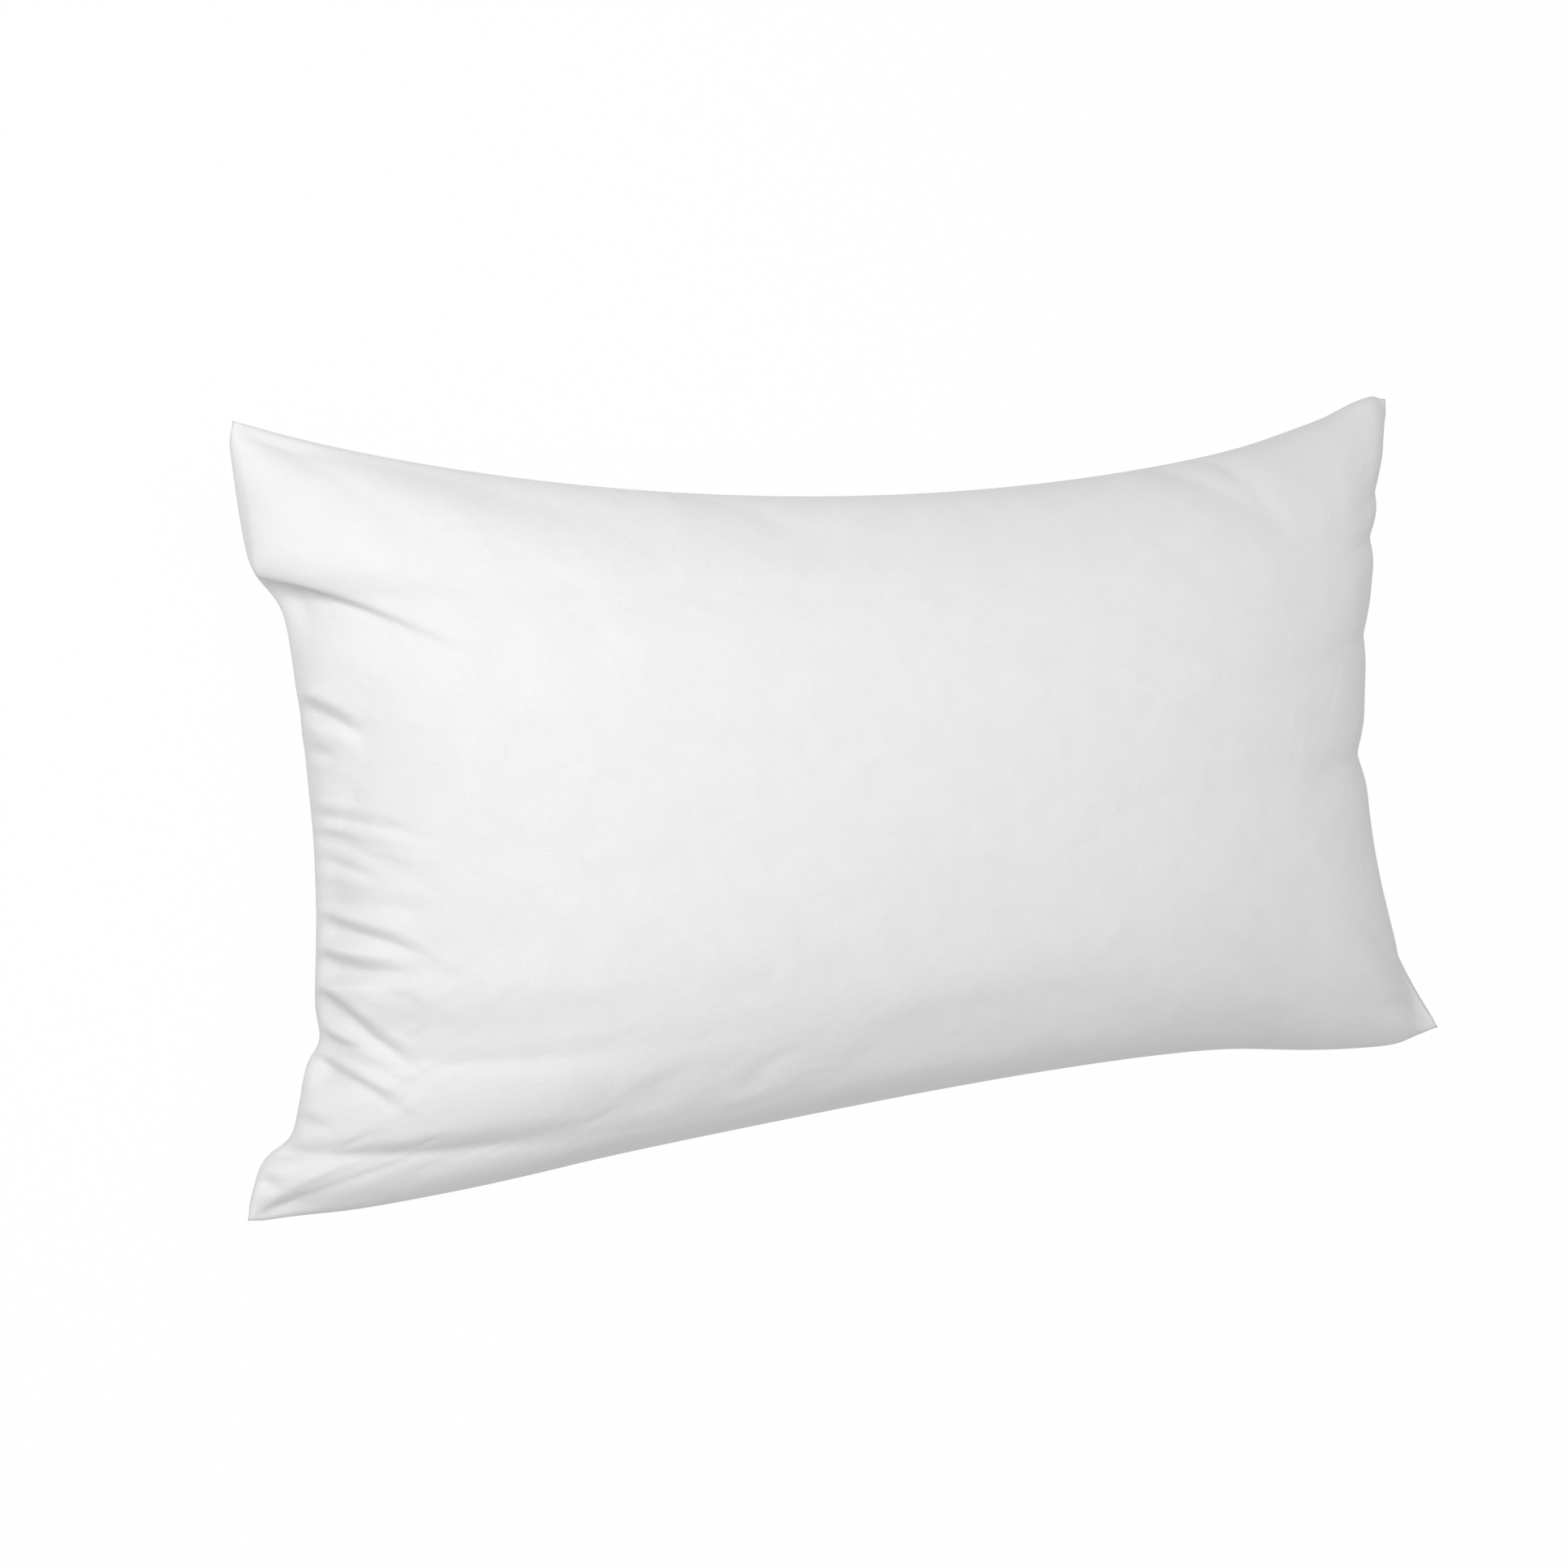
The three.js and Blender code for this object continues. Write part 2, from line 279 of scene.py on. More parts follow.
def beside(places, line):
    """For places in plan: how far along a line they are, 0 to 1, and how far off it, plus to its left."""
    ahead = np.diff(line, axis=0)
    length = np.linalg.norm(ahead, axis=1)
    unit = ahead / length[:, None]
    best = np.full(places.shape[:-1], np.inf)
    along, off = np.zeros_like(best), np.zeros_like(best)
    for k, (start, way) in enumerate(zip(line, unit)):
        rel = places - start
        t = np.clip(rel @ way, 0, length[k])
        far = np.linalg.norm(rel - t[..., None] * way, axis=-1)
        side = np.sign(rel @ np.array([-way[1], way[0]]))
        closer = far < best
        best = np.where(closer, far, best)
        along = np.where(closer, (k + t / length[k]) / len(length), along)
        off = np.where(closer, side * far, off)
    return along, off


def crease_depth(places, spread=1.0):
    """How deep the creases are at places in plan: a sharp valley with a low ridge on each side."""
    depth = np.zeros(places.shape[:-1])
    for line, deep, half in creases:
        along, off = beside(places, line)
        along = along / spread
        fade = (1 - along) ** CREASE_FADE
        reach = np.abs(off) / (half * spread * (MOUTH_WIDTH - NARROWING * along))
        valley = np.exp(-(reach**VALLEY_POWER))
        ridge = np.exp(-((reach - RIDGE_PLACE) ** 2))
        depth += deep * fade * (valley - RIDGE_SHARE * min(1, (RIDGE_LIMIT * MM / half) ** 2) * ridge)
    return DEEPEST_CREASE * MM * np.tanh(depth / (DEEPEST_CREASE * MM))


# ---------------------------------------------------------------- cloth simulation


def grid_faces(index, flip=False):
    a, b, c, d = index[:-1, :-1], index[:-1, 1:], index[1:, 1:], index[1:, :-1]
    order = [a, d, c, b] if flip else [a, b, c, d]
    return np.stack(order, -1).reshape(-1, 4)


def sewn_shell(u, v):
    """Both panels as one skin: points at the start, their flat cut, the faces and the index grids."""
    grid_u, grid_v = np.meshgrid(u, v)
    base = seam_sheet(grid_u, grid_v)
    rise = crown(grid_u, grid_v)
    seeded = SEED_SHARE * crease_depth(base[..., :2], SEED_SPREAD)
    height = START_CROWN * rise - seeded * np.clip(SEED_RISE * rise, 0, 1)
    top = base + height[..., None] * np.array([0, 0, 1])
    bottom = base - height[..., None] * np.array([0, 0, 1])
    flat = np.stack([(grid_u - 0.5) * CUT_LENGTH, (grid_v - 0.5) * CUT_WIDTH, 0 * grid_u], -1)
    top_index = np.arange(grid_u.size).reshape(grid_u.shape)
    inner = np.zeros(grid_u.shape, bool)
    inner[1:-1, 1:-1] = True
    bottom_index = top_index.copy()
    bottom_index[inner] = grid_u.size + np.arange(inner.sum())
    points = np.concatenate([top.reshape(-1, 3), bottom[inner]])
    cut = np.concatenate([flat.reshape(-1, 3), flat[inner]])
    faces = np.concatenate([grid_faces(top_index), grid_faces(bottom_index, flip=True)])
    return points, cut, faces, top_index, bottom_index, inner


def cotton_cloth(shell, flat_key):
    """Gives the shell a light cotton's cloth settings, with its flat cut as the rest shape."""
    cloth = shell.modifiers.new("cotton", "CLOTH")
    how = cloth.settings
    how.quality = 8
    how.mass = 0.3
    how.tension_stiffness = 40
    how.compression_stiffness = 3
    how.shear_stiffness = 5
    how.bending_stiffness = 0.1
    how.use_pressure = True
    how.uniform_pressure_force = PRESSURE
    how.rest_shape_key = flat_key
    how.vertex_group_mass = "seam"
    how.effector_weights.gravity = 0
    cloth.collision_settings.use_collision = False
    return cloth


def inflate(points, cut, faces, seam):
    """Blows the sewn shell up from inside and returns its points. The seam line stays where it is sewn."""
    mesh = bpy.data.meshes.new("sewn shell")
    mesh.from_pydata(points.tolist(), [], faces.tolist())
    shell = bpy.data.objects.new("sewn shell", mesh)
    bpy.context.scene.collection.objects.link(shell)
    shell.shape_key_add(name="sewn")
    flat_key = shell.shape_key_add(name="flat cut")
    flat_key.data.foreach_set("co", (TAKE_UP * cut).astype(np.float32).ravel())
    flat_key.value = 0
    held = shell.vertex_groups.new(name="seam")
    held.add([int(i) for i in np.flatnonzero(seam)], 1.0, "REPLACE")

    cloth = cotton_cloth(shell, flat_key)
    scene = bpy.context.scene
    scene.frame_start, scene.frame_end = 1, SIM_FRAMES
    cloth.point_cache.frame_start, cloth.point_cache.frame_end = 1, SIM_FRAMES
    for step in range(1, SIM_FRAMES + 1):
        scene.frame_set(step)
    filled = shell.evaluated_get(bpy.context.evaluated_depsgraph_get()).to_mesh()
    found = np.empty(len(points) * 3, np.float32)
    filled.vertices.foreach_get("co", found)
    bpy.data.objects.remove(shell)
    bpy.data.meshes.remove(mesh)
    scene.frame_set(1)
    return found.reshape(-1, 3).astype(float)


def filled_panels():
    """The two panels' outer surfaces after filling, and the flat place of each point."""
    u, v = graded(CELLS_ALONG), graded(CELLS_ACROSS)
    points, cut, faces, top_index, bottom_index, inner = sewn_shell(u, v)
    seam = np.zeros(len(points), bool)
    seam[top_index[~inner]] = True
    points = inflate(points, cut, faces, seam)
    points = points + np.array([0, 0, SEAM_Z])
    return points[top_index], points[bottom_index], cut[top_index][..., :2]


# ---------------------------------------------------------------- finishing the shape


def finer(grid):
    """The grid with a point put in between every two, on a smooth curve through its neighbours."""
    for _ in range(2):
        middle = np.empty((len(grid) - 1, *grid.shape[1:]))
        middle[1:-1] = (9 * (grid[1:-2] + grid[2:-1]) - grid[:-3] - grid[3:]) / 16
        middle[0] = (3 * grid[0] + 6 * grid[1] - grid[2]) / 8
        middle[-1] = (3 * grid[-1] + 6 * grid[-2] - grid[-3]) / 8
        full = np.empty((2 * len(grid) - 1, *grid.shape[1:]))
        full[::2], full[1::2] = grid, middle
        grid = np.swapaxes(full, 0, 1)
    return grid


def lie_down(bottom):
    """Flattens the lower panel where it would reach under the bed."""
    height = bottom[..., 2] - BED_Z
    height = (height + np.sqrt(height**2 + 4 * BED_SOFTNESS**2)) / 2
    bottom[..., 2] = BED_Z + height - height.min()
    return bottom


def outward(surface):
    """Unit normals of the upper panel, taken from a smoothed copy so that they don't cross in a crease."""
    surface = surface.copy()
    for _ in range(SMOOTHING_ROUNDS):
        surface[1:-1] = (surface[:-2] + 2 * surface[1:-1] + surface[2:]) / 4
        surface[:, 1:-1] = (surface[:, :-2] + 2 * surface[:, 1:-1] + surface[:, 2:]) / 4
    normal = np.cross(np.gradient(surface, axis=1), np.gradient(surface, axis=0))
    return normal / np.linalg.norm(normal, axis=-1, keepdims=True)


def from_seam(flat):
    """0 at the seam to 1 a few millimetres inside it."""
    inside = np.minimum(CUT_LENGTH / 2 - np.abs(flat[..., 0]), CUT_WIDTH / 2 - np.abs(flat[..., 1]))
    return np.clip(inside / (SEAM_REACH * MM), 0, 1) ** SEAM_EASE


def press_creases(surface, flat):
    """Presses the creases into the upper panel."""
    depth = crease_depth(surface[..., :2]) * from_seam(flat)
    return surface - outward(surface) * depth[..., None]


def lap_folds(surface, flat):
    """Laps the rear side of each big fold over its front side."""
    for share, run, lean, lift, tuck, slide in LAPS:
        line = crease_line("left", share, run, lean)
        along, off = beside(surface[..., :2], line)
        fade = (1 - along) ** LAP_FADE * from_seam(flat)
        over = 0.5 + 0.5 * np.tanh(off / (LAP_EDGE * MM))
        up = lift * np.exp(-np.abs(off) / (LAP_REACH[0] * MM)) * over
        down = tuck * np.exp(-np.abs(off) / (LAP_REACH[1] * MM)) * (1 - over)
        shift = slide * np.exp(-np.abs(off) / (LAP_REACH[0] * MM)) * over
        way = (line[-1] - line[0]) / np.linalg.norm(line[-1] - line[0])
        ahead = np.array([way[1], -way[0], 0])
        surface = surface + (fade * MM)[..., None] * (
            (up - down)[..., None] * outward(surface) + shift[..., None] * ahead
        )
    return surface


# ---------------------------------------------------------------- mesh helpers


def mesh_piece(name, points, faces, material, attributes=()):
    """A smooth mesh piece that rides on the pillow. attributes are (name, vectors) for its points."""
    mesh = bpy.data.meshes.new(name)
    mesh.from_pydata(np.asarray(points).tolist(), [], [list(map(int, f)) for f in faces])
    mesh.update()
    mesh.polygons.foreach_set("use_smooth", np.ones(len(mesh.polygons), bool))
    for label, vectors in attributes:
        layer = mesh.attributes.new(label, "FLOAT_VECTOR", "POINT")
        layer.data.foreach_set("vector", np.asarray(vectors, np.float32).ravel())
    mesh.materials.append(material)
    piece = bpy.data.objects.new(name, mesh)
    bpy.context.scene.collection.objects.link(piece)
    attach(piece, BODY)
    return piece


def edge_loop(shape):
    """Row and column of each point round the edge of a grid, once round."""
    rows, columns = shape
    front = [(0, i) for i in range(columns - 1)]
    right = [(j, columns - 1) for j in range(rows - 1)]
    rear = [(rows - 1, i) for i in range(columns - 1, 0, -1)]
    left = [(j, 0) for j in range(rows - 1, 0, -1)]
    return np.array(front + right + rear + left).T


def seam_ring(u, v, inset, height):
    """Points round the seam, moved in from the fold by a distance, at a height over the seam line."""
    in_u = 0.5 + (u - 0.5) * (1 - 2 * inset / CUT_LENGTH)
    in_v = 0.5 + (v - 0.5) * (1 - 2 * inset / CUT_WIDTH)
    return seam_sheet(in_u, in_v) + np.array([0, 0, SEAM_Z + height])


# The fold at the seam and the allowance behind it, outside to in: (in from the fold, height over the seam)
FOLD = [(-0.0003, 0.0005), (-0.0003, 0.0003), (0.0, 0.0002), (0.0045, 0.0002), (ALLOWANCE, 0.0002)]
FOLD_HEIGHT = 0.0007


def panel_piece(name, surface, flat, side, material):
    """One panel: its outer surface, the rounded fold at the seam and the turned-in allowance."""
    surface = surface.copy()
    surface[..., 2] += side * FOLD_HEIGHT * (1 - from_seam(flat))
    rows, columns = surface.shape[:2]
    j, i = edge_loop((rows, columns))
    share = flat / np.array([CUT_LENGTH, CUT_WIDTH]) + 0.5
    index = np.arange(rows * columns).reshape(rows, columns)
    points = [surface.reshape(-1, 3)]
    cloth = [np.concatenate([flat, np.zeros((rows, columns, 1))], -1).reshape(-1, 3)]
    faces = [grid_faces(index, flip=side < 0)]
    last = index[j, i]
    count = rows * columns
    for inset, height in FOLD:
        u, v = share[j, i, 0], share[j, i, 1]
        points.append(seam_ring(u, v, inset, side * height))
        out = np.array([1, 1]) + 2 * max(inset, 0) / np.array([CUT_LENGTH, CUT_WIDTH])
        cloth.append(np.concatenate([flat[j, i] * out, np.zeros((len(j), 1))], -1))
        ring = count + np.arange(len(j))
        count += len(j)
        strip = np.stack([last, ring, np.roll(ring, -1), np.roll(last, -1)], -1)
        faces.append(strip if side > 0 else strip[:, ::-1])
        last = ring
    marks = [("cloth", np.concatenate(cloth))]
    return mesh_piece(name, np.concatenate(points), np.concatenate(faces), material, marks)


# ---------------------------------------------------------------- materials


class Nodes:
    """A short way to add and join shader nodes."""

    def __init__(self, tree):
        self.tree = tree

    def add(self, kind, values=(), **settings):
        node = self.tree.nodes.new(kind)
        for key, value in settings.items():
            setattr(node, key, value)
        for key, value in dict(values).items():
            node.inputs[key].default_value = value
        return node

    def join(self, source, target):
        self.tree.links.new(source, target)

    def math(self, operation, a, b=None):
        node = self.add("ShaderNodeMath", operation=operation)
        for socket, value in zip(node.inputs, (a, b)):
            if isinstance(value, bpy.types.NodeSocket):
                self.join(value, socket)
            elif value is not None:
                socket.default_value = value
        return node.outputs[0]


def new_group(name, inputs, outputs):
    tree = bpy.data.node_groups.new(name, "ShaderNodeTree")
    for label, kind, value in inputs:
        socket = tree.interface.new_socket(label, in_out="INPUT", socket_type=kind)
        if value is not None:
            socket.default_value = value
    for label, kind in outputs:
        tree.interface.new_socket(label, in_out="OUTPUT", socket_type=kind)
    nodes = Nodes(tree)
    return tree, nodes, nodes.add("NodeGroupInput"), nodes.add("NodeGroupOutput")


def weave_group():
    """Plain weave: crossing threads, with the thick and thin places of spun yarn."""
    tree, nodes, given, result = new_group(
        "plain weave",
        [("Place", "NodeSocketVector", None), ("Threads per Metre", "NodeSocketFloat", 2600.0),
         ("Slub", "NodeSocketFloat", 0.5)],
        [("Height", "NodeSocketFloat"), ("Tone", "NodeSocketFloat")],
    )
    split = nodes.add("ShaderNodeSeparateXYZ")
    nodes.join(given.outputs["Place"], split.inputs[0])
    turns = nodes.math("MULTIPLY", given.outputs["Threads per Metre"], math.pi)
    across = nodes.math("SINE", nodes.math("MULTIPLY", split.outputs["X"], turns))
    along = nodes.math("SINE", nodes.math("MULTIPLY", split.outputs["Y"], turns))
    cross = nodes.math("MULTIPLY", across, along)
    streaks = []
    for stretch in ((1400, 45, 1), (45, 1400, 1)):
        scaled = nodes.add("ShaderNodeVectorMath", operation="MULTIPLY")
        scaled.inputs[1].default_value = stretch
        nodes.join(given.outputs["Place"], scaled.inputs[0])
        yarn = nodes.add("ShaderNodeTexNoise", {"Scale": 1.0, "Detail": 2.0})
        nodes.join(scaled.outputs[0], yarn.inputs["Vector"])
        streaks.append(yarn.outputs["Fac"])
    uneven = nodes.math("MULTIPLY", nodes.math("ADD", *streaks), 0.5)
    slub = nodes.math("MULTIPLY", uneven, given.outputs["Slub"])
    height = nodes.math("ADD", nodes.math("MULTIPLY", cross, 0.5), slub)
    nodes.join(height, result.inputs["Height"])
    nodes.join(uneven, result.inputs["Tone"])
    return tree


def crumple_group():
    """Soft handling creases and puckers, coarse to fine."""
    tree, nodes, given, result = new_group(
        "soft crumple",
        [("Place", "NodeSocketVector", None), ("Scale", "NodeSocketFloat", 40.0),
         ("Fine", "NodeSocketFloat", 0.4)],
        [("Height", "NodeSocketFloat"), ("Patches", "NodeSocketFloat")],
    )
    broad = nodes.add("ShaderNodeTexNoise", {"Detail": 2.0, "Roughness": 0.45, "Distortion": 0.6})
    nodes.join(given.outputs["Place"], broad.inputs["Vector"])
    nodes.join(given.outputs["Scale"], broad.inputs["Scale"])
    folded = nodes.add("ShaderNodeTexNoise", {"Detail": 3.0, "Roughness": 0.5, "Distortion": 1.2})
    nodes.join(given.outputs["Place"], folded.inputs["Vector"])
    nodes.join(nodes.math("MULTIPLY", given.outputs["Scale"], 4.3), folded.inputs["Scale"])
    ridge = nodes.math("ABSOLUTE", nodes.math("SUBTRACT", folded.outputs["Fac"], 0.5))
    fine = nodes.math("MULTIPLY", ridge, given.outputs["Fine"])
    nodes.join(nodes.math("SUBTRACT", broad.outputs["Fac"], fine), result.inputs["Height"])
    nodes.join(broad.outputs["Fac"], result.inputs["Patches"])
    return tree


WEAVE = weave_group()
CRUMPLE = crumple_group()


def start_material(name, roughness, sheen, specular=0.3):
    material = bpy.data.materials.new(name)
    material.use_nodes = True
    nodes = Nodes(material.node_tree)
    shader = material.node_tree.nodes["Principled BSDF"]
    shader.inputs["Roughness"].default_value = roughness
    shader.inputs["Sheen Weight"].default_value = sheen
    shader.inputs["Sheen Roughness"].default_value = 0.5
    shader.inputs["Specular IOR Level"].default_value = specular
    return material, nodes, shader


def use_group(nodes, tree, place, **values):
    node = nodes.add("ShaderNodeGroup", node_tree=tree)
    nodes.join(place, node.inputs["Place"])
    for key, value in values.items():
        node.inputs[key.replace("_", " ")].default_value = value
    return node


def tinted(nodes, shader, fac, dark, light, low=0.3, high=0.7):
    """Base colour that runs from dark to light with fac."""
    ramp = nodes.add("ShaderNodeValToRGB")
    ramp.color_ramp.elements[0].position, ramp.color_ramp.elements[1].position = low, high
    ramp.color_ramp.elements[0].color = (*dark, 1)
    ramp.color_ramp.elements[1].color = (*light, 1)
    nodes.join(fac, ramp.inputs["Fac"])
    nodes.join(ramp.outputs["Color"], shader.inputs["Base Color"])


def bumps(nodes, shader, *layers):
    """Stacked bumps: (height, depth in metres) from the coarse one to the fine one."""
    normal = None
    for height, depth in layers:
        bump = nodes.add("ShaderNodeBump", {"Strength": 1.0, "Distance": depth})
        nodes.join(height, bump.inputs["Height"])
        if normal:
            nodes.join(normal, bump.inputs["Normal"])
        normal = bump.outputs["Normal"]
    nodes.join(normal, shader.inputs["Normal"])


def cotton_material():
    material, nodes, shader = start_material("white woven cotton", 0.85, 0.15)
    place = nodes.add("ShaderNodeAttribute", attribute_name="cloth").outputs["Vector"]
    weave = use_group(nodes, WEAVE, place, Threads_per_Metre=2400.0, Slub=0.8)
    soft = use_group(nodes, CRUMPLE, place, Scale=34.0, Fine=0.25)
    tone = nodes.math("ADD", nodes.math("MULTIPLY", weave.outputs["Tone"], 0.6),
                      nodes.math("MULTIPLY", soft.outputs["Patches"], 0.4))
    tinted(nodes, shader, tone, (0.775, 0.775, 0.772), (0.825, 0.825, 0.822))
    bumps(nodes, shader, (soft.outputs["Height"], 0.0009), (weave.outputs["Height"], 0.00006))
    return material


def filling_material():
    material, nodes, shader = start_material("carded polyester filling", 1.0, 0.3, 0.1)
    place = nodes.add("ShaderNodeTexCoord").outputs["Object"]
    soft = use_group(nodes, CRUMPLE, place, Scale=60.0, Fine=0.8)
    wave = {"Scale": 55.0, "Distortion": 14.0, "Detail": 4.0, "Detail Scale": 2.0}
    wisps = nodes.add("ShaderNodeTexWave", wave)
    nodes.join(place, wisps.inputs["Vector"])
    tinted(nodes, shader, soft.outputs["Patches"], (0.80, 0.80, 0.79), (0.88, 0.88, 0.87))
    bumps(nodes, shader, (soft.outputs["Height"], 0.004), (wisps.outputs["Fac"], 0.0006))
    return material


def thread_material():
    material, nodes, shader = start_material("spun sewing thread", 0.6, 0.2)
    place = nodes.add("ShaderNodeTexCoord").outputs["Object"]
    wave = {"Scale": 900.0, "Distortion": 1.5, "Detail": 1.0}
    twist = nodes.add("ShaderNodeTexWave", wave, bands_direction="DIAGONAL")
    nodes.join(place, twist.inputs["Vector"])
    tinted(nodes, shader, twist.outputs["Fac"], (0.78, 0.78, 0.77), (0.86, 0.86, 0.85), 0.0, 1.0)
    bumps(nodes, shader, (twist.outputs["Fac"], 0.00008))
    return material


def label_material():
    material, nodes, shader = start_material("blank label tape", 0.5, 0.05, 0.4)
    place = nodes.add("ShaderNodeAttribute", attribute_name="cloth").outputs["Vector"]
    weave = use_group(nodes, WEAVE, place, Threads_per_Metre=3200.0, Slub=0.3)
    soft = use_group(nodes, CRUMPLE, place, Scale=90.0, Fine=0.4)
    tinted(nodes, shader, weave.outputs["Tone"], (0.80, 0.80, 0.78), (0.86, 0.86, 0.84))
    bumps(nodes, shader, (soft.outputs["Height"], 0.0006), (weave.outputs["Height"], 0.00004))
    return material


COTTON = cotton_material()
FILLING = filling_material()
THREAD = thread_material()
LABEL = label_material()


# ---------------------------------------------------------------- shell

top_surface, bottom_surface, flat_places = filled_panels()
top_surface, bottom_surface = finer(top_surface), lie_down(finer(bottom_surface))
flat_fine = finer(flat_places)
top_surface = lap_folds(press_creases(top_surface, flat_fine), flat_fine)

top_panel = panel_piece("upper_cloth_panel", top_surface, flat_fine, 1, COTTON)
bottom_panel = panel_piece("lower_cloth_panel", bottom_surface, flat_fine, -1, COTTON)
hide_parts("top_panel")
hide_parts("bottom_panel")


# ---------------------------------------------------------------- filling

PLIES = ["fill_bottom_ply", "fill_core_ply", "fill_top_ply"]
PLY_CELLS = (72, 44)
PLY_INSET = (0.06, 0.045)  # share of the cut left free at each end and each side
CLOTH_GAP = 0.004
PLY_GAP = 0.0012
PLY_ROUNDING = 0.16  # how much of its corners a ply leaves empty
LUMP_SIZE = 0.0003
LUMP_WAVES = 7
LUMP_WAVES_ALONG = (2, 9)  # least and most of them over the length
LUMP_WAVES_ACROSS = (2, 6)


def sampled(surface, u, v):
    """A surface's grid read at shares of its index range."""
    rows, columns = surface.shape[:2]
    y, x = v * (rows - 1), u * (columns - 1)
    j, i = np.minimum(y.astype(int), rows - 2), np.minimum(x.astype(int), columns - 2)
    fy, fx = (y - j)[..., None], (x - i)[..., None]
    near = surface[j, i] * (1 - fx) + surface[j, i + 1] * fx
    far = surface[j + 1, i] * (1 - fx) + surface[j + 1, i + 1] * fx
    return near * (1 - fy) + far * fy


def under_creases(surface, reach=8):
    """A surface whose heights are the lowest within a few cells, so that filling stays under every crease."""
    surface = surface.copy()
    for axis in (0, 1):
        height = surface[..., 2]
        padded = np.pad(height, [(reach, reach) if k == axis else (0, 0) for k in (0, 1)], mode="edge")
        count = height.shape[axis]
        shifted = [np.take(padded, np.arange(k, k + count), axis=axis) for k in range(2 * reach + 1)]
        surface[..., 2] = np.minimum.reduce(shifted)
    return surface


def lumps(u, v, size):
    """Slow unevenness of a ply, up to a size each way."""
    total = np.zeros_like(u)
    for _ in range(LUMP_WAVES):
        along = rng.uniform(*LUMP_WAVES_ALONG)
        across = rng.uniform(*LUMP_WAVES_ACROSS)
        phase = rng.uniform(0, 2 * math.pi)
        total += np.sin(2 * math.pi * (along * u + across * v) + phase)
    return total * size / LUMP_WAVES


filling_top = under_creases(top_surface)


def ply_surfaces(level):
    """The lower and upper faces of a ply, between the two cloth surfaces."""
    columns, rows = PLY_CELLS
    a, b = np.meshgrid(np.linspace(-1, 1, columns + 1), np.linspace(-1, 1, rows + 1))
    round_a = a * np.sqrt(1 - PLY_ROUNDING * b**2)
    round_b = b * np.sqrt(1 - PLY_ROUNDING * a**2)
    u, v = (0.5 + 0.5 * t * (1 - 2 * free) for t, free in zip((round_a, round_b), PLY_INSET))
    high = sampled(filling_top, u, v)
    low = sampled(bottom_surface, u, v)
    depth = high - low
    length = np.linalg.norm(depth, axis=-1, keepdims=True)
    unit = depth / length
    room = length - 2 * CLOTH_GAP
    share_low, share_high = level / len(PLIES), (level + 1) / len(PLIES)
    lower = low + unit * (CLOTH_GAP + room * share_low + PLY_GAP / 2 + lumps(u, v, LUMP_SIZE)[..., None])
    upper = low + unit * (CLOTH_GAP + room * share_high - PLY_GAP / 2 - lumps(u, v, LUMP_SIZE)[..., None])
    return lower, upper


def ply_piece(level, name):
    """One ply: a closed, softly lumpy layer of filling."""
    lower, upper = ply_surfaces(level)
    shape = lower.shape[:2]
    edge_j, edge_i = edge_loop(shape)
    middle = (lower + upper)[edge_j, edge_i] / 2
    count = shape[0] * shape[1]
    index = np.arange(count).reshape(shape)
    ring = 2 * count + np.arange(len(edge_j))
    top_edge, low_edge = index[edge_j, edge_i], index[edge_j, edge_i] + count
    walls = [
        np.stack([top_edge, ring, np.roll(ring, -1), np.roll(top_edge, -1)], -1),
        np.stack([ring, low_edge, np.roll(low_edge, -1), np.roll(ring, -1)], -1),
    ]
    points = np.concatenate([upper.reshape(-1, 3), lower.reshape(-1, 3), middle])
    faces = np.concatenate([grid_faces(index), grid_faces(index + count, flip=True), *walls])
    piece = mesh_piece(name.replace("fill_", "filling_"), points, faces, FILLING)
    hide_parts(name)
    return piece


filling = [ply_piece(level, name) for level, name in enumerate(PLIES)]


# ---------------------------------------------------------------- threads


def tube(path, radius, sides):
    """Points and faces of a round tube along an open path."""
    ahead = np.gradient(path, axis=0)
    ahead /= np.linalg.norm(ahead, axis=1, keepdims=True)
    up = np.array([0.0, 0.0, 1.0])
    across = np.cross(ahead, up)
    across /= np.maximum(np.linalg.norm(across, axis=1, keepdims=True), 1e-6)
    over = np.cross(across, ahead)
    angle = 2 * math.pi * np.arange(sides) / sides
    ring = np.cos(angle)[None, :, None] * across[:, None] + np.sin(angle)[None, :, None] * over[:, None]
    points = (path[:, None] + radius * ring).reshape(-1, 3)
    index = np.arange(len(path) * sides).reshape(len(path), sides)
    wrapped = np.concatenate([index, index[:, :1]], axis=1)
    faces = [list(f) for f in grid_faces(wrapped)]
    faces += [list(index[0]), list(index[-1][::-1])]
    return points, faces


def merged(parts):
    points, faces, count = [], [], 0
    for some, polygons in parts:
        points.append(some)
        faces += [[k + count for k in f] for f in polygons]
        count += len(some)
    return np.concatenate(points), faces


def seam_run(stretches, pitch, per_stitch):
    """Shares (u, v) along stretches of the seam, with per_stitch points to each stitch."""
    shares = []
    for (u0, v0), (u1, v1) in stretches:
        length = math.hypot((u1 - u0) * CUT_LENGTH, (v1 - v0) * CUT_WIDTH)
        t = np.linspace(0, 1, round(length / pitch) * per_stitch, endpoint=False)
        shares.append(np.stack([u0 + (u1 - u0) * t, v0 + (v1 - v0) * t], -1))
    return np.concatenate(shares)


